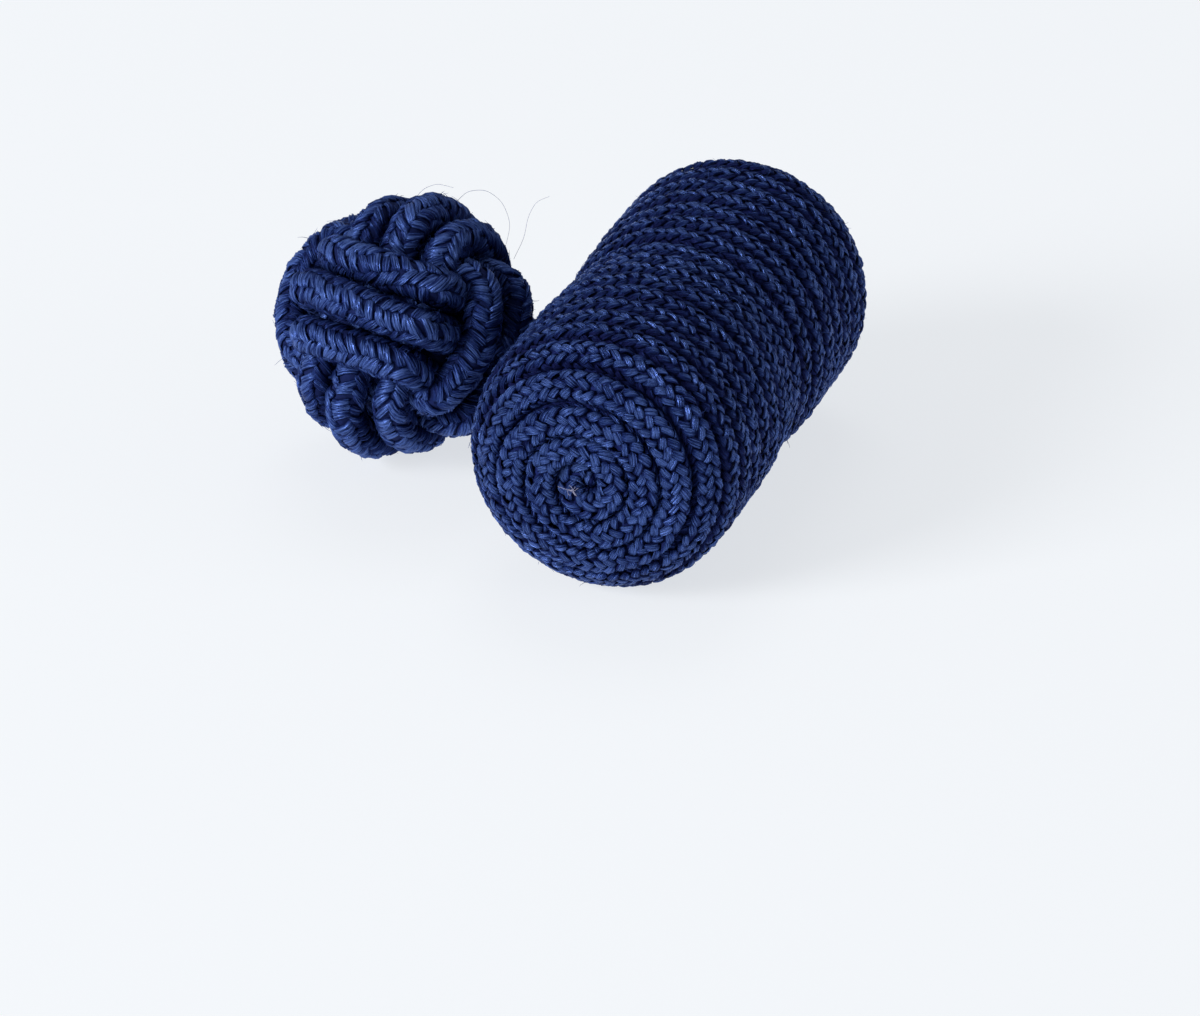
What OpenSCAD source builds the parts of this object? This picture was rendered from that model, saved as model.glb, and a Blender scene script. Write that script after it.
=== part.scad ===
// Barrel cufflink made of braided cord: a wound barrel and a woven ball knot,
// joined by a short link of doubled cord.
// The barrel lies along X and the knot beside it along +Y, both resting on Z = 0.

/* [Barrel] */
// Length of the barrel over its two spiral ends
barrel_length = 20; // [16:0.5:24]
// Diameter of the barrel over the cord
barrel_d = 10; // [8:0.5:12]
// Radius of the rounded edge at each end
barrel_edge_r = 2.9; // [2:0.1:3.5]
// Slope at the rim of the domed end faces, in degrees
barrel_dome = 6; // [0:1:12]
// Windings of cord from the middle of an end face to mid-length
barrel_windings = 12; // [8:1:16]
// How far the windings are drawn in at mid-length, where the link is tied
barrel_waist = 0.4; // [0:0.05:0.6]

/* [Knot] */
// Diameter of the ball knot over its strands
knot_d = 10.1; // [8:0.1:12]
// Tilt of the knot's front bundle up from the floor, in degrees
knot_tilt = 34; // [0:1:90]
// Turn of the knot about the vertical, in degrees
knot_yaw = -7; // [-20:1:20]
// Turn of the knot about its own front, in degrees
knot_roll = -6; // [-20:1:20]

/* [Link] */
// Free length of the link, from the barrel's drawn-in middle to the knot
link_gap = 0.8; // [0.6:0.1:4]
// Thickness of each of the two cord legs
link_cord_d = 1.4; // [1:0.1:1.6]
// Depth of the seats that hold the ends of the link
link_seat = 2; // [1.2:0.1:2.6]
// Clearance around the ends of the link in their seats
seat_clear = 0.1; // [0.05:0.01:0.2]

/* [Hidden] */
$fn = 48;
navy = [0.10, 0.16, 0.38];

// Barrel profile: the windings are round ridges, spaced evenly along a line that
// keeps one ridge radius inside the outer shape, from the end's middle to mid-length.
barrel_r = barrel_d / 2;
half_len = barrel_length / 2;
ridge_r = 0.56;
ridge_arc = 66;
waist_reach = 1.7;
bend_r = barrel_edge_r - ridge_r;
face_len = barrel_r - barrel_edge_r + bend_r * sin(barrel_dome);
face_drop = face_len * tan(barrel_dome) / 2;
bend_x = half_len - ridge_r - face_drop - bend_r * cos(barrel_dome);
bend_len = bend_r * (90 - barrel_dome) * PI / 180;
profile_len = face_len + bend_len + bend_x;
pitch = profile_len / barrel_windings;

// How far the windings are drawn in at distance x from mid-length
function waist(x) = barrel_waist * exp(-pow(x / waist_reach, 2));

// Direction in which the ridge line faces, in degrees from the barrel's axis, s from the end's middle
function facing(s) =
    s < face_len ? barrel_dome * s / face_len : min(barrel_dome + (s - face_len) / bend_r * 180 / PI, 90);

// Point on the ridge line as [radius, distance from mid-length]
function ridge_line(s) =
    s < face_len
        ? [s, half_len - ridge_r - face_drop * pow(s / face_len, 2)]
    : s < face_len + bend_len
        ? [barrel_r - barrel_edge_r + bend_r * sin(facing(s)), bend_x + bend_r * cos(facing(s))]
    : let (x = profile_len - s)
      [barrel_r - ridge_r - waist(x), x];

// The rounded top of each winding, followed from the end's middle to mid-length
half_section = [
    for (i = [0 : barrel_windings - 1], b = [-ridge_arc : ridge_arc / 3 : ridge_arc])
        let (s = (i + 0.5) * pitch)
        ridge_line(s) + ridge_r * [sin(facing(s) + b), cos(facing(s) + b)]
];

// Ball knot: three bundles of three round loops, woven over and under each other.
// The middle strand of a bundle lies three strand widths out where it passes over,
// its neighbours sink a little deeper, and all lie two widths out where they pass under.
strand = knot_d / 7;
over_r = 3 * strand;
under_r = 2 * strand;
side_sink = 0.2 * strand;
strand_r = knot_d / 2 - over_r;
heart_r = under_r + 0.35 * strand;
over_until = 34;
under_from = 67;
loop_steps = 48;
strand_sides = 8;

function smooth(t) = let (u = min(max(t, 0), 1)) u * u * (3 - 2 * u);

// Distance of a strand from the middle of the ball, a degrees from its outer pole
function reach(a, off) =
    let (b = abs(a) % 180, c = b > 90 ? 180 - b : b, top = over_r - side_sink * abs(off) / strand)
    top + (under_r - top) * smooth((c - over_until) / (under_from - over_until));

// Centre of a loop's strand at angle a, for a loop that lies off to one side
function loop_point(a, off) =
    let (q = sqrt(pow(reach(a, off), 2) - off * off))
    [q * sin(a), off, q * cos(a)];

// One ring of points around the strand at angle a
function loop_ring(a, off) =
    let (p = loop_point(a, off),
         t = loop_point(a + 1, off) - loop_point(a - 1, off),
         n = [-t[2], 0, t[0]] / norm(t))
    [for (k = [0 : strand_sides - 1])
        let (b = 360 * k / strand_sides)
        p + strand_r * (-cos(b) * n + [0, sin(b), 0])];

function loop_points(off) =
    [for (i = [0 : loop_steps - 1]) each loop_ring(360 * i / loop_steps, off)];

// Bundle 0 lies outside at the knot's front and back, 1 at its sides, 2 at its top and foot
function to_bundle(p, bundle) =
    bundle == 0 ? p : bundle == 1 ? [p[2], p[0], p[1]] : [p[1], p[2], p[0]];

// The same point turned about axis Z
function turned(p, a) = [p[0] * cos(a) - p[1] * sin(a), p[0] * sin(a) + p[1] * cos(a), p[2]];

// From the knot's own axes to the part's: its right side faces the barrel, and its front is tilted up
function to_part(p) =
    let (q = turned(p, knot_roll))
    turned([q[1] * sin(knot_tilt) - q[2] * cos(knot_tilt),
            -q[0],
            q[1] * cos(knot_tilt) + q[2] * sin(knot_tilt)], knot_yaw);

function placed_loop(bundle, off) = [for (p = loop_points(off)) to_part(to_bundle(p, bundle))];

loops = [for (bundle = [0 : 2], k = [-1 : 1]) placed_loop(bundle, k * strand)];
loop_faces = [
    for (i = [0 : loop_steps - 1], k = [0 : strand_sides - 1])
        let (i2 = (i + 1) % loop_steps, k2 = (k + 1) % strand_sides)
        [i * strand_sides + k, i2 * strand_sides + k, i2 * strand_sides + k2, i * strand_sides + k2]
];
knot_height = -min([for (l = loops) for (p = l) p[2]]);
knot_near = min([for (l = loops) for (p = l) p[1]]);
knot_far = max([for (l = loops) for (p = l) p[1]]);

// Places along Y: the part's middle is at the middle of its overall width
tied_r = barrel_r - barrel_waist;
span = barrel_r + tied_r + link_gap + knot_far - knot_near;
barrel_y = barrel_r - span / 2;
knot_y = span / 2 - knot_far;
link_z = barrel_r;
seat_a = barrel_y + tied_r - link_seat;
seat_b = knot_y + knot_near + link_seat;

// Two cord legs side by side along Y, used for the link and, grown, for its seats
module cord_legs(from_y, to_y, grow) {
    for (side = [-1, 1])
        translate([side * (link_cord_d / 2 - 0.05), from_y, link_z])
            rotate([-90, 0, 0])
                cylinder(d = link_cord_d + 2 * grow, h = to_y - from_y);
}

// The barrel's section on one side of its axis
module barrel_section() {
    far_half = [for (i = [len(half_section) - 1 : -1 : 0]) [half_section[i][0], -half_section[i][1]]];
    middle = half_section[0][1];
    polygon(concat([[0, -middle], [0, middle]], half_section, far_half));
}

module barrel() {
    color(navy)
        difference() {
            translate([0, barrel_y, barrel_r])
                rotate([0, -90, 0])
                    rotate_extrude()
                        barrel_section();
            cord_legs(seat_a - seat_clear, barrel_y + barrel_r + 1, seat_clear);
        }
}

module knot() {
    color(navy)
        difference() {
            translate([0, knot_y, knot_height])
                union() {
                    sphere(r = heart_r, $fn = 32);
                    for (l = loops)
                        polyhedron(points = l, faces = loop_faces, convexity = 4);
                }
            cord_legs(knot_y + knot_near - 1, seat_b + seat_clear, seat_clear);
        }
}

module link() {
    color(navy)
        cord_legs(seat_a, seat_b, 0);
}

barrel();
knot();
link();
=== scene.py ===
"""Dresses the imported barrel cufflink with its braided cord, and sets the stage for its picture."""

import math

import bmesh
import bpy
import numpy as np
from bpy.props import FloatProperty, FloatVectorProperty, IntProperty, PointerProperty
from mathutils import Matrix, Vector


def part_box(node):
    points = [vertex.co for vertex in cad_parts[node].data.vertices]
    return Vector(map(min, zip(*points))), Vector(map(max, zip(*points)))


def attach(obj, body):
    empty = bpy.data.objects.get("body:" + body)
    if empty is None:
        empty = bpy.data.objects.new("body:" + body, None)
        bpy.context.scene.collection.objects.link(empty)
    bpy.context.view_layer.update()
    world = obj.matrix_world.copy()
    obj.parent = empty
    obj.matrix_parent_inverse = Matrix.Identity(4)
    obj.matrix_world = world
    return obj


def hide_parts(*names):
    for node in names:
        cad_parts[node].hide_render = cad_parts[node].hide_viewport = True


bl_info = {
    "name": "Braided Cord Cufflink",
    "version": (1, 0, 0),
    "blender": (4, 5, 0),
    "location": "3D View > Sidebar > Cufflink",
    "description": "Winds the barrel, weaves the ball knot and lays the link of a soft cufflink",
    "category": "Add Mesh",
}

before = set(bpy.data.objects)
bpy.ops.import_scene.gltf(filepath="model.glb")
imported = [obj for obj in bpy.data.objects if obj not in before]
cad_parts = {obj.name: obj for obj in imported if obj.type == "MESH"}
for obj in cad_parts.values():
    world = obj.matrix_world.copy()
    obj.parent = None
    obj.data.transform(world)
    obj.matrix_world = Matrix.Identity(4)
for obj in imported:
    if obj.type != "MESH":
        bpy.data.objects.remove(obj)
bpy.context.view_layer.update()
MM = 0.001
TURN = 2 * math.pi

# Lowest place of a leaf and of a loose fibre above the floor, in millimetres
LEAF_CLEARANCE = 0.003
FIBRE_CLEARANCE = 0.02

# How unevenly a braid's leaves lie at a jitter of 1, as the spread of each measure
UNEVEN = {"place": 0.06, "turn": 0.05, "lean": math.radians(5), "length": 0.07, "width": 0.08,
          "height": 0.18, "lift": 0.09, "bow": 0.05}
# No leaf strays further than this many spreads
FURTHEST = 2.2
# How tall a leaf's plies are, as a range of factors
PLY_HEIGHTS = (0.7, 1.25)
# A leaf gets painted shade from the first angle away from outwards, and is darkest after the second angle
# more
SHADE_FROM = math.radians(48)
SHADE_OVER = math.radians(42)
# How much paler a cord's top is painted, as a highlight, for each radian by which its painted shade begins
# nearer the top
PAINTED_HIGHLIGHT_GAIN = 0.25

NAVY = (0.0125, 0.03, 0.15)
# Painted highlight: the pale blue that the yarn's lit tops and glinting filaments are painted towards
PAINTED_HIGHLIGHT_BLUE = (0.078, 0.142, 0.43)
BLUE_SHEEN = (0.45, 0.6, 1.0, 1)


# Small helpers


def unit(v):
    return v / np.linalg.norm(v, axis=-1, keepdims=True)


def smooth(t):
    """Eases from 0 to 1."""
    u = np.clip(t, 0, 1)
    return u * u * (3 - 2 * u)


def wander(rng, span, waves, size):
    """A smooth random function of one variable, made of sines with wavelengths of span and less."""
    turns = TURN / span * np.arange(1, waves + 1)
    phases = rng.uniform(0, TURN, waves)
    sizes = size * rng.uniform(0.4, 1.0, waves) / np.sqrt(waves)
    return lambda s: sum(a * np.sin(k * s + p) for a, k, p in zip(sizes, turns, phases))


def node_middle(node):
    """The middle of a CAD node's box, in millimetres."""
    low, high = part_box(node)
    return np.array((low + high) / 2) / MM


def node_half(node, axis):
    """Half the size of a CAD node's box along an axis, in millimetres."""
    low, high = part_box(node)
    return (high[axis] - low[axis]) / MM / 2


# Cords


class Cord:
    """A cord's centre line, with the direction that faces outwards at each point, in millimetres."""

    def __init__(self, centre, outward, first=0, last=-1):
        run = np.concatenate([[0], np.cumsum(np.linalg.norm(np.diff(centre, axis=0), axis=1))])
        tangent = unit(np.gradient(centre, run, axis=0))
        outward = unit(outward - np.sum(outward * tangent, axis=1)[:, None] * tangent)
        self.run = run - run[first]
        self.length = self.run[last]
        self.table = np.hstack([centre, outward, np.cross(outward, tangent)])

    def place(self, s, x, y):
        """Points at distance s along the cord, x across it and y outwards from its centre line."""
        c = [np.interp(s, self.run, column) for column in self.table.T]
        centre, outward, across = (np.stack(c[i : i + 3], axis=-1) for i in (0, 3, 6))
        return centre + x[..., None] * across + y[..., None] * outward


class Leaf:
    """One short visible stretch of a braided yarn: three plies side by side, with ends that dive down."""

    # Across and up, once round the section, and the ply that each point belongs to, if any. The grooves
    # between the plies are GROOVE up here and take their height from the leaf's own setting
    GROOVE = 1
    SECTION = ((1, 0, -1), (0.64, 0.9, 0), (0.31, 1, -1), (0, 1.1, 1), (-0.31, 1, -1), (-0.64, 0.9, 2),
               (-1, 0, -1), (0, -0.8, -1))

    # Points this far along are the leaf's two tips
    TIP = 0.999

    def __init__(self, rings, taper, groove=0.55):
        mesh = bmesh.new()
        bmesh.ops.create_uvsphere(mesh, u_segments=len(self.SECTION), v_segments=rings + 1, radius=1)
        mesh.verts.index_update()
        ball = np.array([v.co[:] for v in mesh.verts])
        # The faces come in a fixed order, so that each run gives the same mesh
        self.corners = sorted([v.index for v in f.verts] for f in mesh.faces)
        mesh.free()
        # Even steps along the leaf, from -1 to 1
        polar = np.arccos(np.clip(ball[:, 2], -1, 1)) / math.pi
        self.along = 1 - 2 * polar
        tip = np.abs(self.along) > self.TIP
        angle = np.arctan2(ball[:, 1], ball[:, 0])
        spot = np.round(angle / TURN * len(self.SECTION)).astype(int) % len(self.SECTION)
        across, up, ply = np.array(self.SECTION)[spot].T
        up = np.where(up == self.GROOVE, groove, up)
        self.across = np.where(tip, 0, across * (1 - taper * np.abs(self.along) ** 2.5))
        self.rise = np.where(tip, 0, up)
        self.ply = np.where(tip, -1, ply).astype(int)


def lay_leaves(cord, leaf, rng, *, columns, pitch, slant, length, width, height, radius, square, dive,
               shade=SHADE_FROM, jitter=1.0, twist=None, spare=1.0, ends=1.0, full=1.1):
    """Lays the leaves of a braid on a cord. Columns are angles round the cord, in degrees from outwards.

    Width, square, dive, shade and ends are numbers or functions of the distance along the cord. Returns a
    dictionary of arrays with one row a leaf and one column a leaf vertex.
    """
    rows = []
    count = int(round(cord.length / pitch))
    for k, column in enumerate(columns):
        s = (np.arange(count) + 0.5 * (k % 2)) * cord.length / count
        side = 1 if k % 2 else -1
        rows.append(np.stack([s, np.full(count, math.radians(column)), np.full(count, side)], axis=1))
    s0, around, side = np.concatenate(rows).T
    n = len(s0)
    middles = s0

    def there(value):
        """A measure at each leaf, as a column."""
        return (value(middles) if callable(value) else np.full(n, value))[:, None]

    def spread(measure):
        """A random deviation for each leaf."""
        size = UNEVEN[measure]
        return rng.normal(0, size * jitter, n).clip(-FURTHEST * size, FURTHEST * size)

    # Where each leaf lies and how large it is
    s0 = s0 + spread("place") * pitch
    around = around + spread("turn") + (twist(s0) if twist else 0)
    lean = (slant + spread("lean")) * side
    long = length * (1 + spread("length"))
    wide = there(width)[:, 0] * (1 + spread("width"))
    tall = height * (1 + spread("height"))
    lift = spread("lift") * height
    bow = spread("bow") * length
    # Each vertex along and across its leaf, and then along and round the cord
    a = leaf.along[None, :] * long[:, None] / 2
    b = leaf.across[None, :] * wide[:, None] / 2 + bow[:, None] * (1 - leaf.along[None, :] ** 2)
    s = s0[:, None] + a * np.cos(lean)[:, None] - b * np.sin(lean)[:, None]
    turn = around[:, None] + (a * np.sin(lean)[:, None] + b * np.cos(lean)[:, None]) / radius
    plies = np.hstack([rng.uniform(*PLY_HEIGHTS, (n, 3)), np.ones((n, 1))])
    rise = leaf.rise[None, :] * plies[:, leaf.ply]
    h = rise * tall[:, None] + lift[:, None] - there(dive) * np.abs(leaf.along[None, :]) ** 2
    # The cord's section is round at a power of 2 and squarer above it
    power = there(square)
    reach = (radius + h) * (np.abs(np.cos(turn)) ** power + np.abs(np.sin(turn)) ** power) ** (-1 / power)
    place = cord.place(s, reach * np.sin(turn), reach * np.cos(turn))
    place[..., 2] = np.maximum(place[..., 2], LEAF_CLEARANCE)
    # Painted light and shade at each vertex: the leaf's top is painted lighter than its foot and its ends,
    # where shade falls as it dives under its neighbours, and the cord's top lighter than its sides, which
    # get painted shade
    painted_light = np.clip((leaf.rise[None, :] + 0.1) / full, 0, 1)
    # Painted shade towards the leaf's tips, where they dive under their neighbours
    painted_light = painted_light * (1 - there(ends) * np.abs(leaf.along[None, :]) ** 2)
    shade = there(shade)
    # Painted shade on the cord's sides
    sunk = smooth((np.abs(turn) - shade) / SHADE_OVER) * spare
    # A painted highlight on cords whose painted shade begins nearer their tops
    painted_crest_highlight = 1 + PAINTED_HIGHLIGHT_GAIN * (SHADE_FROM - shade)
    return {
        "place": place,
        "core": cord.place(s0, 0 * s0, 0 * s0),
        "s": s0,
        "uv": np.stack([a, b], axis=-1),
        "tone": np.broadcast_to(rng.uniform(0, 1, n)[:, None], a.shape),
        "painted_light": painted_light * painted_crest_highlight * (1 - sunk),
    }


def all_leaves(parts):
    """The leaves of several cords as one set."""
    return {key: np.concatenate([part[key] for part in parts]) for key in parts[0]}


def mesh_object(name, verts, flat, totals, uv, values):
    """A smooth mesh object from arrays in millimetres.

    Flat lists the corners of all faces one after the other, and totals says how many each face has.
    """
    mesh = bpy.data.meshes.new(name)
    mesh.vertices.add(len(verts))
    mesh.vertices.foreach_set("co", (verts * MM).astype(np.float32).ravel())
    mesh.loops.add(len(flat))
    mesh.loops.foreach_set("vertex_index", flat)
    mesh.polygons.add(len(totals))
    starts = np.concatenate([[0], np.cumsum(totals)[:-1]])
    mesh.polygons.foreach_set("loop_start", starts.astype(np.int32))
    mesh.update(calc_edges=True)
    layer = mesh.uv_layers.new(name="yarn")
    layer.data.foreach_set("uv", uv[flat].astype(np.float32).ravel())
    for key, value in values.items():
        mesh.attributes.new(key, "FLOAT", "POINT").data.foreach_set("value", value.astype(np.float32))
    mesh.validate()
    mesh.shade_smooth()
    piece = bpy.data.objects.new(name, mesh)
    bpy.context.scene.collection.objects.link(piece)
    return piece


def join_leaves(name, leaf, laid, keep=slice(None)):
    """One mesh piece of the leaves that keep marks, or of them all."""
    verts = laid["place"][keep]
    n, m = verts.shape[:2]
    flat = np.concatenate([np.asarray(c) for c in leaf.corners])
    totals = np.array([len(c) for c in leaf.corners])
    flat = (flat[None, :] + m * np.arange(n)[:, None]).ravel().astype(np.int32)
    uv = laid["uv"][keep].reshape(-1, 2)
    # Each leaf's random tone, and its painted light and shade
    values = {key: laid[key][keep].ravel() for key in ("tone", "painted_light")}
    return mesh_object(name, verts.reshape(-1, 3), flat, np.tile(totals, n), uv, values)


def strands(name, runs, thickness, resolution=0):
    """One mesh piece of round strands. A run is its points, in millimetres, and their relative thickness."""
    curve = bpy.data.curves.new(name, "CURVE")
    curve.dimensions = "3D"
    curve.bevel_depth = thickness / 2 * MM
    curve.bevel_resolution = resolution
    curve.use_fill_caps = True
    for points, sizes in runs:
        spline = curve.splines.new("POLY")
        spline.points.add(len(points) - 1)
        spline.points.foreach_set("co", np.hstack([points * MM, np.ones((len(points), 1))]).ravel())
        spline.points.foreach_set("radius", np.broadcast_to(sizes, len(points)).astype(float))
    drawn = bpy.data.objects.new(name + "_line", curve)
    bpy.context.scene.collection.objects.link(drawn)
    bpy.context.view_layer.update()
    evaluated = drawn.evaluated_get(bpy.context.evaluated_depsgraph_get())
    mesh = bpy.data.meshes.new_from_object(evaluated)
    bpy.data.objects.remove(drawn)
    bpy.data.curves.remove(curve)
    mesh.name = name
    mesh.shade_smooth()
    piece = bpy.data.objects.new(name, mesh)
    bpy.context.scene.collection.objects.link(piece)
    return piece


def loose_fibres(name, laid, rng, count, length, thickness, lift, points=4):
    """Short fibres that have come loose from the leaves and stand a little proud of them."""
    arch = 2.2
    root_lift = 0.01
    stray = 0.02
    curliness = 0.35
    thin_end = 0.35
    pick = rng.integers(0, len(laid["s"]), count)
    ends = rng.integers(0, laid["place"].shape[1], (2, count))
    root = laid["place"][pick, ends[0]]
    out = unit(root - laid["core"][pick])
    way = unit(laid["place"][pick, ends[1]] - root + stray * rng.normal(size=(count, 3)))
    curl = np.cross(out, way) * rng.normal(0, curliness, (count, 1))
    reach = length * rng.uniform(0.35, 1.0, (count, 1))
    rise = lift * rng.uniform(0.3, 1.5, (count, 1))
    runs = []
    for n in range(count):
        t = np.linspace(0, 1, points)[:, None]
        height = rise[n] * np.sin(t * arch) + root_lift
        line = root[n] + reach[n] * (t * way[n] + t**2 * curl[n]) + out[n] * height
        line[:, 2] = np.maximum(line[:, 2], FIBRE_CLEARANCE)
        runs.append((line, np.linspace(1, thin_end, points)))
    return strands(name, runs, thickness)


def finish_piece(piece, material, slot, *nodes):
    """Gives a finished piece its material, hangs it from the root body, and hides the CAD parts that it
    stands for.
    """
    piece.data.materials.clear()
    piece.data.materials.append(material)
    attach(piece, "root")
    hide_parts(*nodes)


# Materials


class Wire:
    """A shader socket that Python arithmetic can use: each operation on values adds a Math node."""

    def __init__(self, shader, socket):
        self.shader = shader
        self.socket = socket

    def maths(self, operation, *values):
        return self.shader.add("Math", {"operation": operation}, list(values))

    def __add__(self, other):
        return self.maths("ADD", self, other)

    __radd__ = __add__

    def __sub__(self, other):
        return self.maths("SUBTRACT", self, other)

    def __rsub__(self, other):
        return self.maths("SUBTRACT", other, self)

    def __mul__(self, other):
        return self.maths("MULTIPLY", self, other)

    __rmul__ = __mul__


class Shader:
    """A material's node tree, built one node at a time."""

    def __init__(self, name):
        self.material = bpy.data.materials.new(name)
        self.material.use_nodes = True
        self.tree = self.material.node_tree
        self.tree.nodes.clear()

    def add(self, kind, settings=None, inputs=(), output=0):
        """Adds a node, sets it up, feeds its sockets values or wires, and returns one output as a wire."""
        node = self.tree.nodes.new("ShaderNode" + kind)
        for key, value in (settings or {}).items():
            if key == "stops":
                elements = node.color_ramp.elements
                for n, (position, colour) in enumerate(value):
                    stop = elements[n] if n < 2 else elements.new(position)
                    stop.position = position
                    stop.color = colour
            else:
                setattr(node, key, value)
        pairs = inputs.items() if isinstance(inputs, dict) else enumerate(inputs)
        for key, value in pairs:
            if isinstance(value, Wire):
                self.tree.links.new(value.socket, node.inputs[key])
            else:
                node.inputs[key].default_value = value
        return Wire(self, node.outputs[output]) if len(node.outputs) else node

    def noise(self, vector, scale, detail, roughness=0.5):
        """A noise pattern laid out along a vector."""
        inputs = {"Vector": vector, "Scale": scale, "Detail": detail, "Roughness": roughness}
        return self.add("TexNoise", {"noise_dimensions": "3D"}, inputs)


def silk(name, colour, *, deep, pale, roughness, filament, bump, base=0.4, painted_light_weight=0.9, streaks_and_glints=1.1,
         relief=0.00012):
    """Silky dyed yarn: fine filaments along each leaf, with painted shade where it dives and a painted
    highlight on its top.
    """
    ply_contrast = 1.3
    leaf_contrast = 0.25
    patch_contrast = 0.5
    shader = Shader(name)
    uv = shader.add("UVMap", {"uv_map": "yarn"})
    tone = shader.add("Attribute", {"attribute_name": "tone"}, output="Fac")
    # Painted light and shade, laid on each leaf vertex
    painted_light = shader.add("Attribute", {"attribute_name": "painted_light"}, output="Fac")
    parts = shader.tree.nodes.new("ShaderNodeSeparateXYZ")
    shader.tree.links.new(uv.socket, parts.inputs[0])
    along = Wire(shader, parts.outputs[0])
    across = Wire(shader, parts.outputs[1])
    # The leaf's own tone shifts both patterns, so that no two leaves are alike
    line = shader.add("CombineXYZ", inputs=[along * 1.6, across * (1 / filament), tone * 37.0])
    filaments = shader.noise(line, scale=1.0, detail=3.0, roughness=0.6)
    line = shader.add("CombineXYZ", inputs=[along * 1.3, across * (0.6 / filament), tone * 91.0])
    plies = shader.noise(line, scale=1.0, detail=1.0)
    place = shader.add("TexCoord", output="Object")
    patch = shader.noise(place, scale=420.0, detail=3.0)
    # Lightness: painted light and shade at its set weight, painted glints along the filaments, and random
    # tone from the plies, each leaf and patches
    lightness = (base + painted_light_weight * (painted_light - 0.5) + ply_contrast * (plies - 0.5) + streaks_and_glints * (filaments - 0.5)
                 + leaf_contrast * (tone - 0.5) + patch_contrast * (patch - 0.5))
    # The ramp runs from deep, the yarn's darkest tone and its painted shade, through its colour to pale, a
    # painted highlight
    stops = [(0.0, (*deep, 1)), (0.55, (*colour, 1)), (1.0, (*pale, 1))]
    ramp = shader.add("ValToRGB", {"stops": stops}, [lightness])
    rough = roughness + 0.35 * (1 - painted_light) + 0.1 * (filaments - 0.5)
    height = filaments * 0.5 + plies * 0.9
    normal = shader.add("Bump", inputs={"Strength": bump, "Distance": relief, "Height": height})
    cloth = shader.add("BsdfPrincipled", inputs={
        "Base Color": ramp, "Roughness": rough, "Normal": normal, "Metallic": 0.45,
        "Specular IOR Level": 0.25, "Specular Tint": BLUE_SHEEN})
    shader.add("OutputMaterial", inputs={"Surface": cloth})
    return shader.material


def plain_yarn(name, colour, *, roughness):
    """Yarn whose filaments are too fine to tell apart: the cord's core, and single fibres."""
    shader = Shader(name)
    darker = [0.6 * c for c in colour]
    place = shader.add("TexCoord", output="Object")
    patch = shader.noise(place, scale=3000.0, detail=2.0)
    ramp = shader.add("ValToRGB", {"stops": [(0.3, (*darker, 1)), (0.7, (*colour, 1))]}, [patch])
    normal = shader.add("Bump", inputs={"Strength": 0.4, "Distance": 0.00002, "Height": patch})
    cloth = shader.add("BsdfPrincipled", inputs={
        "Base Color": ramp, "Roughness": roughness, "Normal": normal, "Specular IOR Level": 0.12,
        "Specular Tint": BLUE_SHEEN})
    shader.add("OutputMaterial", inputs={"Surface": cloth})
    return shader.material


def glowing_floor(name, colour, glow):
    """A pale sheet over a light table: it glows evenly, so what lies on it throws hardly any shadow."""
    shader = Shader(name)
    cloth = shader.add("BsdfPrincipled", inputs={
        "Base Color": (*colour, 1), "Roughness": 0.85, "Specular IOR Level": 0.1,
        "Emission Color": (0.93, 0.961, 1.0, 1), "Emission Strength": glow})
    shader.add("OutputMaterial", inputs={"Surface": cloth})
    return shader.material


# Settings


class BarrelSettings(bpy.types.PropertyGroup):
    windings: IntProperty(name="Windings", description="Windings from the middle of an end to mid-length",
                          default=12, min=8, max=16)
    edge: FloatProperty(name="Edge Radius", description="Radius of the rounded edge at each end",
                        default=0.0029, unit="LENGTH", precision=5)
    dome: FloatProperty(name="Dome", description="Slope at the rim of the end faces",
                        default=math.radians(6), subtype="ANGLE")
    waist: FloatProperty(name="Waist", description="How far the windings are drawn in at mid-length",
                         default=0.00025, unit="LENGTH", precision=5)
    leaf_pitch: FloatProperty(name="Stitch", description="Distance along the cord between two chevrons",
                              default=0.00041, unit="LENGTH", precision=5)
    colour: FloatVectorProperty(name="Colour", description="Colour of the dyed yarn", subtype="COLOR",
                                default=NAVY)


class KnotSettings(bpy.types.PropertyGroup):
    tilt: FloatProperty(name="Tilt", description="Tilt of the front bundle up from the floor",
                        default=math.radians(34), subtype="ANGLE")
    yaw: FloatProperty(name="Yaw", description="Turn of the knot about the vertical",
                       default=math.radians(-7), subtype="ANGLE")
    roll: FloatProperty(name="Roll", description="Turn of the knot about its own front",
                        default=math.radians(-6), subtype="ANGLE")
    leaf_pitch: FloatProperty(name="Stitch", description="Distance along the cord between two chevrons",
                              default=0.00025, unit="LENGTH", precision=5)
    hairs: IntProperty(name="Hairs", description="Loose fibres on the knot", default=4500, min=0, max=6000)
    colour: FloatVectorProperty(name="Colour", description="Colour of the dyed yarn", subtype="COLOR",
                                default=NAVY)


class LinkSettings(bpy.types.PropertyGroup):
    thickness: FloatProperty(name="Thickness", description="Thickness of each leg of the link",
                             default=0.0014, unit="LENGTH", precision=5)
    leaf_pitch: FloatProperty(name="Stitch", description="Distance along the cord between two chevrons",
                              default=0.0005, unit="LENGTH", precision=5)


class StageSettings(bpy.types.PropertyGroup):
    azimuth: FloatProperty(name="Azimuth", description="Direction of the camera round the cufflink",
                           default=math.radians(-70.4), subtype="ANGLE")
    elevation: FloatProperty(name="Elevation", description="Height angle of the camera",
                             default=math.radians(27.7), subtype="ANGLE")
    distance: FloatProperty(name="Distance", description="Distance of the camera from the barrel",
                            default=0.21, unit="LENGTH")
    lens: FloatProperty(name="Lens", description="Focal length in millimetres", default=174.5)
    floor: FloatVectorProperty(name="Floor", description="Colour of the floor", subtype="COLOR",
                               default=(0.3, 0.305, 0.31))
    glow: FloatProperty(name="Glow", description="Light that the floor gives off itself", default=0.725)


# Barrel


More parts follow.
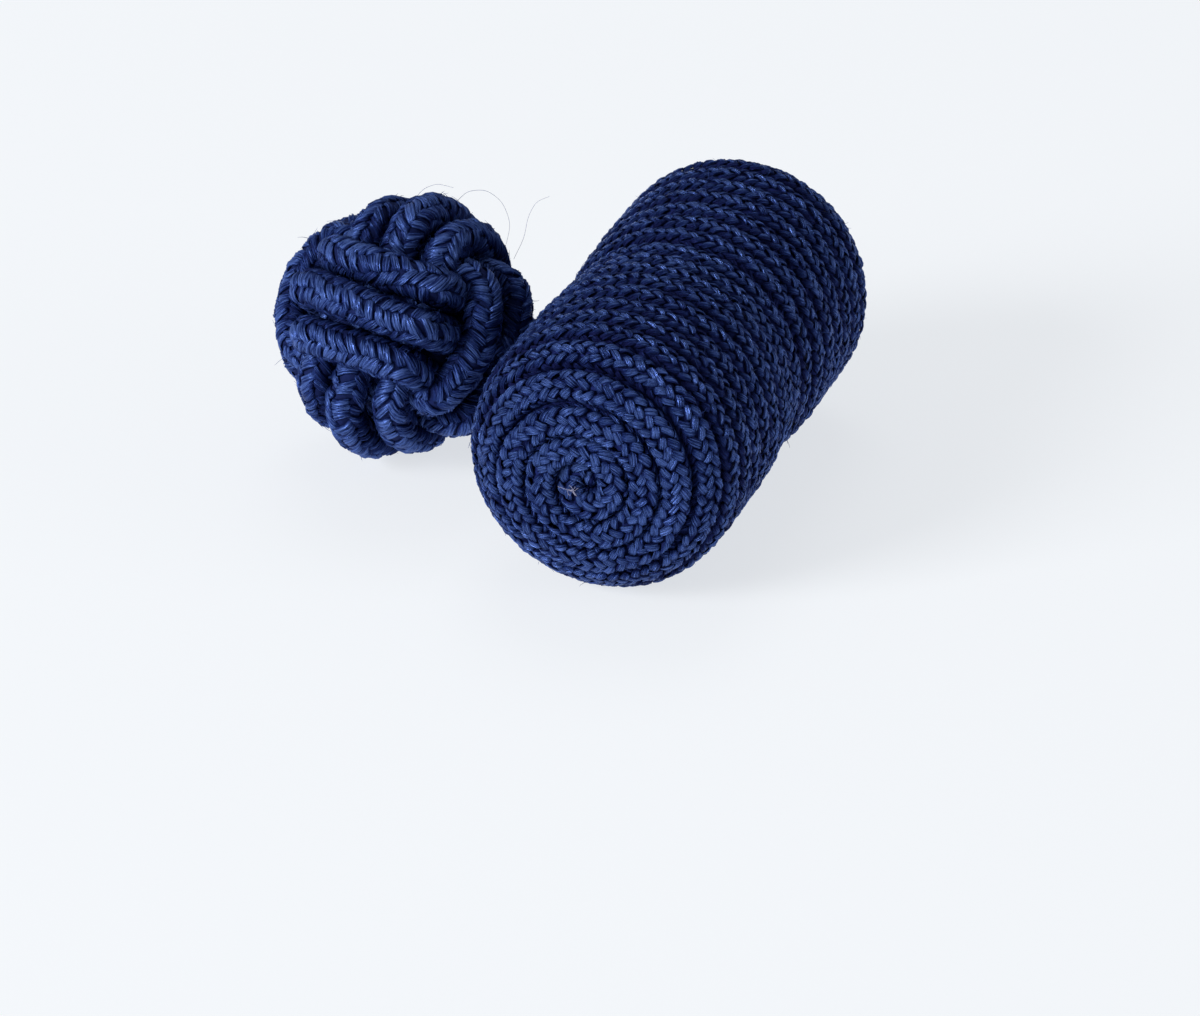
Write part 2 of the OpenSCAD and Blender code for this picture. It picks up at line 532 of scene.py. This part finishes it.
def barrel_line(settings):
    """The barrel's one cord, wound from the near eye to the far one, and the body under it as a run."""
    middle = node_middle("barrel")
    radius = node_half("barrel", 2)
    half = node_half("barrel", 0)
    edge = settings.edge / MM
    waist = settings.waist / MM
    dome = settings.dome
    # Half the cord's thickness, and how far to each side the waist reaches
    ridge = 0.56
    waist_reach = 1.7
    bend = edge - ridge
    face = radius - edge + bend * math.sin(dome)
    drop = face * math.tan(dome) / 2
    bend_x = half - ridge - drop - bend * math.cos(dome)
    bend_length = bend * (math.pi / 2 - dome)
    profile = face + bend_length + bend_x
    pitch = profile / settings.windings
    rng = np.random.default_rng(11)
    sway = wander(rng, span=7.3 * TURN, waves=14, size=0.055)
    swell = wander(rng, span=8.1 * TURN, waves=16, size=0.022)

    # The way runs over the profile, from the near end's middle to the far end's
    start = 0.26 * pitch
    windings = (2 * profile - 2 * start) / pitch
    points_a_winding = 110
    way = np.linspace(start, 2 * profile - start, int(windings * points_a_winding))
    turn = TURN * way / pitch
    from_eye = np.minimum(way, 2 * profile - way) - start
    ease = smooth(from_eye / pitch)
    swayed = way + sway(turn) * ease
    end = np.where(swayed < profile, -1, 1)
    s = np.minimum(swayed, 2 * profile - swayed)

    def profile_at(s):
        """Distance from the axis, distance from mid-length and facing angle, at s from an end's middle."""
        facing = np.where(s < face, dome * s / face, np.minimum(dome + (s - face) / bend, math.pi / 2))
        x = profile - s
        stretch = [s < face, s < face + bend_length]
        side_rho = radius - ridge - waist * np.exp(-(x / waist_reach) ** 2)
        rho = np.select(stretch, [s, radius - edge + bend * np.sin(facing)], side_rho)
        face_out = half - ridge - drop * (s / face) ** 2
        out = np.select(stretch, [face_out, bend_x + bend * np.cos(facing)], x)
        return rho, out, facing

    rho, out, facing = profile_at(s)
    round_dir = np.stack([0 * turn, -np.cos(turn), np.sin(turn)], axis=1)
    axis_dir = np.array([1.0, 0, 0])
    centre = rho[:, None] * round_dir + (end * out)[:, None] * axis_dir
    outward = np.sin(facing)[:, None] * round_dir + (end * np.cos(facing))[:, None] * axis_dir
    # The cord's two ends sink into the eyes
    tuck_reach = 0.75 * pitch
    tuck_depth = 0.42
    tuck = 1 - smooth(from_eye / tuck_reach)
    centre += (swell(turn) * ease - tuck_depth * tuck)[:, None] * outward
    # The body stays low in the eyes and fills the chinks between the windings from the rim on
    body_start = 0.4 * face
    body_lift = 0.4
    body_depth = 0.3
    inner_s = np.linspace(body_start, profile, 40)
    inner_rho, inner_out, inner_facing = profile_at(inner_s)
    proud = body_lift * smooth((inner_s - body_start) / (face - body_start)) - body_depth
    places = inner_out + proud * np.cos(inner_facing)
    widths = 2 * (inner_rho + proud * np.sin(inner_facing))
    line = np.concatenate([-places, places[-2::-1]])[:, None] * axis_dir + middle
    body = (line, np.concatenate([widths, widths[-2::-1]]))
    return Cord(centre + middle, outward), way, profile, face, body


def eye_cord(end):
    """The cord's end in an eye: it curls over and dives into the barrel, along an arch beside the axis."""
    foot = node_half("barrel", 0) - 1.5
    top_reach = 0.85
    aside = -0.12
    raised = 0.1
    half_span = 0.28
    arch = np.linspace(0, math.pi, 40)
    outward = np.stack([end * np.sin(arch), 0 * arch, np.cos(arch)], axis=1)
    line = np.stack([end * (foot + top_reach * np.sin(arch)), 0 * arch + aside,
                     raised + half_span * np.cos(arch)], axis=1)
    return Cord(line + node_middle("barrel"), outward)


def frayed_tuft(rng):
    """A frayed tuft beside the near eye, as runs. Its first fibre is the longest."""
    root = node_middle("barrel") + np.array([0.18 - node_half("barrel", 0), 0.42, -0.24])
    runs = []
    for n in range(7):
        turn = rng.uniform(2.6, 4.4) if n else 0.75
        reach = rng.uniform(0.14, 0.3) if n else 0.5
        bend = rng.normal(0, 0.5)
        scatter = rng.normal(0, 0.08, 3) * (0.3, 1, 1)
        t = np.linspace(-0.3, 1, 5)[:, None]
        way = np.array([0, math.cos(turn), math.sin(turn)])
        side = np.array([0, -math.sin(turn), math.cos(turn)])
        line = root + reach * (t * way + bend * t**2 * side) + scatter
        # It leaves the face, stands furthest out halfway and comes back
        line[:, 0] -= 0.05 + 0.12 * np.sin(2 * np.clip(t[:, 0], 0, 1))
        runs.append((line, np.linspace(1, 0.5, 5)))
    return runs


class CUFFLINK_OT_barrel(bpy.types.Operator):
    """Wind the barrel from one braided cord"""

    bl_idname = "cufflink.barrel"
    bl_label = "Wind Barrel"

    def execute(self, context):
        settings = context.scene.cufflink_barrel
        cord, way, profile, face, body = barrel_line(settings)
        rng = np.random.default_rng(12)
        leaf = Leaf(rings=4, taper=0.3, groove=0.68)
        # How far along the profile an end face's rim lies, and how far the rounded edge goes on from it
        rim = face + 1.2
        rounding = 1.6

        def between_ends(s):
            """0 on the end faces, whose windings are pressed flat, and 1 on the side, with round ones."""
            place = np.interp(s, cord.run, way)
            return smooth((np.minimum(place, 2 * profile - place) - rim) / rounding)

        def fitted(on_face, on_side):
            """A measure of the leaves that changes from the end faces to the side."""
            return lambda s: on_face + (on_side - on_face) * between_ends(s)

        # On the side the painted shade begins nearer the cord's top, which gets a painted highlight, and the
        # leaves' tips get more painted shade
        laid = lay_leaves(
            cord, leaf, rng, columns=(-74, -37, 0, 37, 74), pitch=settings.leaf_pitch / MM,
            slant=math.radians(35), length=0.65, width=fitted(0.305, 0.255), height=0.05, radius=0.52,
            square=fitted(4.6, 2.8), dive=fitted(0.085, 0.12), shade=fitted(SHADE_FROM, math.radians(15)),
            jitter=1.25, twist=wander(rng, span=40, waves=6, size=0.12), ends=fitted(0.8, 1.0), full=0.8)
        colour = tuple(settings.colour)
        yarn = silk("barrel_silk", colour, deep=(0.008, 0.011, 0.08), pale=PAINTED_HIGHLIGHT_BLUE, roughness=0.26,
                    filament=0.032, bump=1.0, base=0.45, streaks_and_glints=2.0, relief=0.0003)
        core = plain_yarn("cord_core", (0.014, 0.023, 0.135), roughness=0.8)
        where = np.interp(laid["s"], cord.run, way)
        # The middle piece reaches this far to each side of mid-length
        belt = 0.2 * profile
        bounds = {
            "barrel_near_end": (0, rim),
            "barrel_near_side": (rim, profile - belt),
            "barrel_middle": (profile - belt, profile + belt),
            "barrel_far_side": (profile + belt, 2 * profile - rim),
            "barrel_far_end": (2 * profile - rim, 2 * profile),
        }
        for name, (low, high) in bounds.items():
            piece = join_leaves(name, leaf, laid, (where >= low) & (where < high))
            finish_piece(piece, yarn, "barrel_cord", "barrel")
        # Paler than the yarn: a painted highlight along each loose fibre
        fibre = plain_yarn("barrel_fibre", (0.04, 0.075, 0.28), roughness=0.4)
        piece = loose_fibres("barrel_fuzz", laid, rng, count=1100, length=0.5, thickness=0.024, lift=0.03)
        finish_piece(piece, fibre, "barrel_cord", "barrel")
        runs = [(cord.table[::3, :3], 1.0)]
        for end, name in ((-1, "barrel_near_eye"), (1, "barrel_far_eye")):
            curl = eye_cord(end)
            laid = lay_leaves(
                curl, leaf, rng, columns=(-144, -72, 0, 72, 144), pitch=0.3, slant=math.radians(38),
                length=0.62, width=0.24, height=0.07, radius=0.22, square=2.0, dive=0.12, jitter=1.8,
                spare=0.2)
            piece = join_leaves(name, leaf, laid)
            finish_piece(piece, yarn, "barrel_cord", "barrel")
            runs.append((curl.table[:, :3], 0.45))
        piece = strands("barrel_cord_core", runs, thickness=0.92, resolution=1)
        finish_piece(piece, core, "barrel_cord", "barrel")
        piece = strands("barrel_body", [body], thickness=1.0, resolution=8)
        finish_piece(piece, core, "barrel_cord", "barrel")
        piece = strands("barrel_eye_tuft", frayed_tuft(rng), thickness=0.03)
        undyed = plain_yarn("undyed_fibre", (0.42, 0.42, 0.6), roughness=0.5)
        finish_piece(piece, undyed, "barrel_cord", "barrel")
        return {"FINISHED"}


# Knot

# The three bundles, and the order in which a loop's axes are taken for each
BUNDLES = {"knot_front_bundle": [0, 1, 2], "knot_side_bundle": [2, 0, 1], "knot_top_bundle": [1, 2, 0]}


def knot_lines(settings):
    """The ball knot's nine loops, as three cords side by side for the name of each woven bundle."""
    middle = node_middle("knot")
    # Seven strands make up the knot's width. A strand runs three strands out from the middle where it
    # lies over the others, and two where it lies under them
    strand = 10.1 / 7
    over = 3 * strand
    under = 2 * strand
    sink = 0.2 * strand
    spacing = 1.07 * strand
    # Degrees from a loop's outer pole
    over_until = 30
    under_from = 63

    def turned(p, angle):
        """Points turned about the third axis."""
        x, y, z = p.T
        c = math.cos(angle)
        s = math.sin(angle)
        return np.stack([x * c - y * s, x * s + y * c, z], axis=1)

    def to_part(p):
        """Points from the knot's own axes to the part's."""
        x, y, z = turned(p, settings.roll).T
        c = math.cos(settings.tilt)
        s = math.sin(settings.tilt)
        return turned(np.stack([y * s - z * c, -x, y * c + z * s], axis=1), settings.yaw)

    rng = np.random.default_rng(21)
    # Each line overlaps itself, so that the leaves meet where the loop closes
    degrees = np.arange(-24, 385, 2.0)
    first = int(np.argmin(np.abs(degrees)))
    last = int(np.argmin(np.abs(degrees - 360)))
    bundles = {}
    for name, axes in BUNDLES.items():
        bundles[name] = []
        for k in (-1, 0, 1):
            lift = wander(rng, span=TURN, waves=5, size=0.085)
            slide = wander(rng, span=TURN, waves=5, size=0.075)
            angle = np.radians(degrees)
            off = spacing * k + slide(angle)
            from_pole = np.abs(degrees) % 180
            from_pole = np.minimum(from_pole, 180 - from_pole)
            top = over - sink * abs(k)
            sunk = smooth((from_pole - over_until) / (under_from - over_until))
            reach = top + (under - top) * sunk + lift(angle)
            q = np.sqrt(reach**2 - off**2)
            p = np.stack([q * np.sin(angle), off, q * np.cos(angle)], axis=1)
            p = to_part(p[:, axes])
            bundles[name].append(Cord(p + middle, unit(p), first, last))
    return bundles


def knot_hairs(view):
    """A few long hairs that stand off the knot's upper side, as runs."""
    # Each point is right, up and towards the camera from the knot's middle
    hairs = (
        ((1.9, 4.5, 0.4), (2.3, 4.9, 0.5), (3.0, 4.95, 0.5), (3.6, 4.5, 0.4), (3.9, 3.7, 0.3),
         (3.7, 2.9, 0.2)),
        ((4.0, 2.4, 0.6), (4.4, 3.2, 0.7), (4.5, 3.9, 0.6), (4.8, 4.5, 0.5), (5.3, 4.7, 0.4)),
        ((0.4, 4.6, 0.8), (0.7, 4.95, 0.9), (1.2, 5.15, 0.9), (1.8, 5.0, 0.8)),
    )
    smoothings = 8
    basis = np.array(view_axes(view.azimuth, view.elevation))
    runs = []
    for hair in hairs:
        t = np.linspace(0, len(hair) - 1, 6 * len(hair))
        steps = np.arange(len(hair))
        line = np.stack([np.interp(t, steps, column) for column in np.array(hair).T], axis=1)
        for _ in range(smoothings):
            line[1:-1] = (line[:-2] + 2 * line[1:-1] + line[2:]) / 4
        runs.append((line @ basis + node_middle("knot"), np.linspace(1, 0.6, len(t))))
    return runs


def knot_heart():
    """The line of the knot's heart, which is more of the cord, wound into a ball."""
    radius = 2.6
    windings = 15
    turns = 7.3
    t = np.linspace(0, 1, 900)
    roll = TURN * windings * t
    sway = TURN * turns * t
    ball = np.stack([np.cos(roll), np.sin(roll) * np.cos(sway), np.sin(roll) * np.sin(sway)], axis=1)
    return radius * ball + node_middle("knot")


class CUFFLINK_OT_knot(bpy.types.Operator):
    """Weave the ball knot from three bundles of braided cord"""

    bl_idname = "cufflink.knot"
    bl_label = "Weave Knot"

    def execute(self, context):
        settings = context.scene.cufflink_knot
        rng = np.random.default_rng(22)
        leaf = Leaf(rings=4, taper=0.35)
        colour = tuple(settings.colour)
        yarn = silk("knot_silk", colour, deep=(0.006, 0.009, 0.062), pale=PAINTED_HIGHLIGHT_BLUE, roughness=0.3,
                    filament=0.04, bump=1.0, base=0.56, painted_light_weight=0.8, streaks_and_glints=2.3, relief=0.00016)
        core = plain_yarn("knot_core_yarn", (0.011, 0.019, 0.095), roughness=0.8)
        # Paler than the yarn: a painted highlight along each loose fibre and hair
        fibre = plain_yarn("knot_fibre", (0.05, 0.09, 0.32), roughness=0.45)
        bundles = knot_lines(settings)
        for name, cords in bundles.items():
            parts = []
            for cord in cords:
                twist = wander(rng, span=cord.length, waves=4, size=0.9)
                # The knot's cords get painted shade from 28 degrees off their tops, a slight painted
                # highlight on top, and light painted shade at the leaf tips
                parts.append(lay_leaves(
                    cord, leaf, rng, columns=(-120, -60, 0, 60, 120, 180), pitch=settings.leaf_pitch / MM,
                    slant=math.radians(64), length=1.02, width=0.27, height=0.075, radius=0.65, square=2.1,
                    dive=0.08, jitter=2.0, twist=twist, shade=math.radians(28), spare=0.6, ends=0.4))
            laid = all_leaves(parts)
            piece = join_leaves(name, leaf, laid)
            finish_piece(piece, yarn, "knot_cord", "knot")
            piece = loose_fibres(name + "_fuzz", laid, rng, count=settings.hairs // 3, length=0.45,
                                 thickness=0.022, lift=0.045, points=3)
            finish_piece(piece, fibre, "knot_cord", "knot")
        piece = strands("knot_hairs", knot_hairs(context.scene.cufflink_stage), thickness=0.016)
        finish_piece(piece, fibre, "knot_cord", "knot")
        runs = []
        for cord in sum(bundles.values(), []):
            inside = (cord.run >= 0) & (cord.run <= cord.length + 0.1)
            runs.append((cord.table[inside][::2, :3], 1.0))
        runs.append((knot_heart(), 1.15))
        piece = strands("knot_cord_core", runs, thickness=1.24, resolution=2)
        finish_piece(piece, core, "knot_cord", "knot")
        return {"FINISHED"}


# Link


class CUFFLINK_OT_link(bpy.types.Operator):
    """Lay the two legs of the link between barrel and knot"""

    bl_idname = "cufflink.link"
    bl_label = "Lay Link"

    def execute(self, context):
        settings = context.scene.cufflink_link
        rng = np.random.default_rng(31)
        leaf = Leaf(rings=4, taper=0.4)
        low, high = (np.array(corner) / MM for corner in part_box("link"))
        thickness = settings.thickness / MM
        yarn = silk("link_silk", tuple(context.scene.cufflink_barrel.colour), deep=(0.003, 0.005, 0.034),
                    pale=(0.08, 0.135, 0.42), roughness=0.45, filament=0.045, bump=1.0)
        # The core is darker than the yarn: painted shade in the gaps between the leaves, where it shows
        core = plain_yarn("link_core_yarn", (0.004, 0.008, 0.04), roughness=0.8)
        middle = node_middle("link")
        # The legs' lines stop short of the link's ends, as the leaves reach past them, and the legs
        # press a little into each other
        short = 0.3
        pressed = 0.05
        count = 40
        columns = np.arange(8) * 45 + 22.5
        parts = []
        runs = []
        for side in (-1, 1):
            y = np.linspace(low[1] + short, high[1] - short, count)
            x = middle[0] + side * (thickness / 2 - pressed)
            points = np.stack([np.full(count, x), y, np.full(count, middle[2])], axis=1)
            cord = Cord(points, np.tile((0.0, 0, 1), (count, 1)))
            parts.append(lay_leaves(
                cord, leaf, rng, columns=columns, pitch=settings.leaf_pitch / MM, slant=math.radians(42),
                length=0.95, width=0.42, height=0.14, radius=thickness / 2 - 0.1, square=2.0, dive=0.12,
                spare=0.0))
            runs.append((points, 1.0))
        piece = join_leaves("link_cord", leaf, all_leaves(parts))
        finish_piece(piece, yarn, "link_cord", "link")
        piece = strands("link_cord_core", runs, thickness=thickness - 0.2, resolution=2)
        finish_piece(piece, core, "link_cord", "link")
        return {"FINISHED"}


# Stage


def view_axes(azimuth, elevation):
    """Right, up and back directions of a camera that looks at the part from azimuth and elevation."""
    back = Vector((math.sin(azimuth) * math.cos(elevation), -math.cos(azimuth) * math.cos(elevation),
                   math.sin(elevation)))
    right = Vector((0, 0, 1)).cross(back).normalized()
    return right, back.cross(right), back


def soft_light(name, aim, direction, *, distance, size, power):
    """A square softbox that faces the aim, with its distance and size in metres and its power in watts."""
    light = bpy.data.lights.new(name, "AREA")
    light.shape = "SQUARE"
    light.size = size
    light.energy = power
    lamp = bpy.data.objects.new(name, light)
    bpy.context.scene.collection.objects.link(lamp)
    direction = Vector(direction).normalized()
    lamp.location = aim + direction * distance
    lamp.rotation_euler = direction.to_track_quat("Z", "Y").to_euler()


class CUFFLINK_OT_stage(bpy.types.Operator):
    """Set the floor, the soft lights and the camera"""

    bl_idname = "cufflink.stage"
    bl_label = "Set Stage"

    def execute(self, context):
        settings = context.scene.cufflink_stage
        scene = context.scene
        scene.view_settings.view_transform = "Standard"
        middle = Vector(node_middle("barrel")) * MM
        right, up, back = view_axes(settings.azimuth, settings.elevation)
        # The camera aims a little left of and below the barrel's middle, measured in pixels of the picture
        pixel = MM / 27.7
        aim = middle - right * (74 * pixel) - up * (140 * pixel)
        camera = bpy.data.objects.new("camera", bpy.data.cameras.new("camera"))
        camera.data.lens = settings.lens
        camera.data.sensor_width = 36
        camera.data.clip_start = 0.01
        camera.matrix_world = Matrix.Translation(aim + back * settings.distance) @ Matrix(
            (right, up, back)).transposed().to_4x4()
        scene.collection.objects.link(camera)
        scene.camera = camera

        mesh = bmesh.new()
        bmesh.ops.create_grid(mesh, x_segments=1, y_segments=1, size=1.5)
        data = bpy.data.meshes.new("floor")
        mesh.to_mesh(data)
        mesh.free()
        floor = bpy.data.objects.new("floor", data)
        scene.collection.objects.link(floor)
        data.materials.append(glowing_floor("pale_floor", settings.floor, settings.glow))

        world = scene.world or bpy.data.worlds.new("studio")
        scene.world = world
        world.use_nodes = True
        backdrop = world.node_tree.nodes["Background"]
        backdrop.inputs["Color"].default_value = (0.95, 0.97, 1, 1)
        backdrop.inputs["Strength"].default_value = 0.22
        flat_right = Vector((right.x, right.y, 0)).normalized()
        flat_back = Vector((back.x, back.y, 0)).normalized()
        top = Vector((0, 0, 1))
        soft_light("left_softbox", aim, -flat_right + 0.55 * top + 0.6 * flat_back,
                   distance=0.6, size=0.25, power=3.3)
        soft_light("right_softbox", aim, flat_right + 0.2 * top + 0.35 * flat_back,
                   distance=0.6, size=0.25, power=0.8)
        soft_light("overhead_softbox", aim, top - 0.6 * flat_back, distance=0.8, size=0.4, power=0.8)
        return {"FINISHED"}


class CUFFLINK_PT_panel(bpy.types.Panel):
    """Lists the steps that make the cufflink"""

    bl_label = "Cufflink"
    bl_idname = "CUFFLINK_PT_panel"
    bl_space_type = "VIEW_3D"
    bl_region_type = "UI"
    bl_category = "Cufflink"

    def draw(self, context):
        for name, operator in STEPS:
            box = self.layout.box()
            settings = getattr(context.scene, "cufflink_" + name)
            for key in settings.bl_rna.properties.keys():
                if key not in ("rna_type", "name"):
                    box.prop(settings, key)
            box.operator(operator.bl_idname)


STEPS = (
    ("stage", CUFFLINK_OT_stage),
    ("barrel", CUFFLINK_OT_barrel),
    ("knot", CUFFLINK_OT_knot),
    ("link", CUFFLINK_OT_link),
)
SETTINGS = {"stage": StageSettings, "barrel": BarrelSettings, "knot": KnotSettings, "link": LinkSettings}


def register():
    for settings in SETTINGS.values():
        bpy.utils.register_class(settings)
    for name, settings in SETTINGS.items():
        setattr(bpy.types.Scene, "cufflink_" + name, PointerProperty(type=settings))
    for _, operator in STEPS:
        bpy.utils.register_class(operator)
    bpy.utils.register_class(CUFFLINK_PT_panel)


def unregister():
    bpy.utils.unregister_class(CUFFLINK_PT_panel)
    for _, operator in reversed(STEPS):
        bpy.utils.unregister_class(operator)
    for name, settings in SETTINGS.items():
        delattr(bpy.types.Scene, "cufflink_" + name)
        bpy.utils.unregister_class(settings)


def main():
    register()
    bpy.ops.cufflink.stage()
    bpy.ops.cufflink.barrel()
    bpy.ops.cufflink.knot()
    bpy.ops.cufflink.link()


if __name__ == "__main__":
    main()
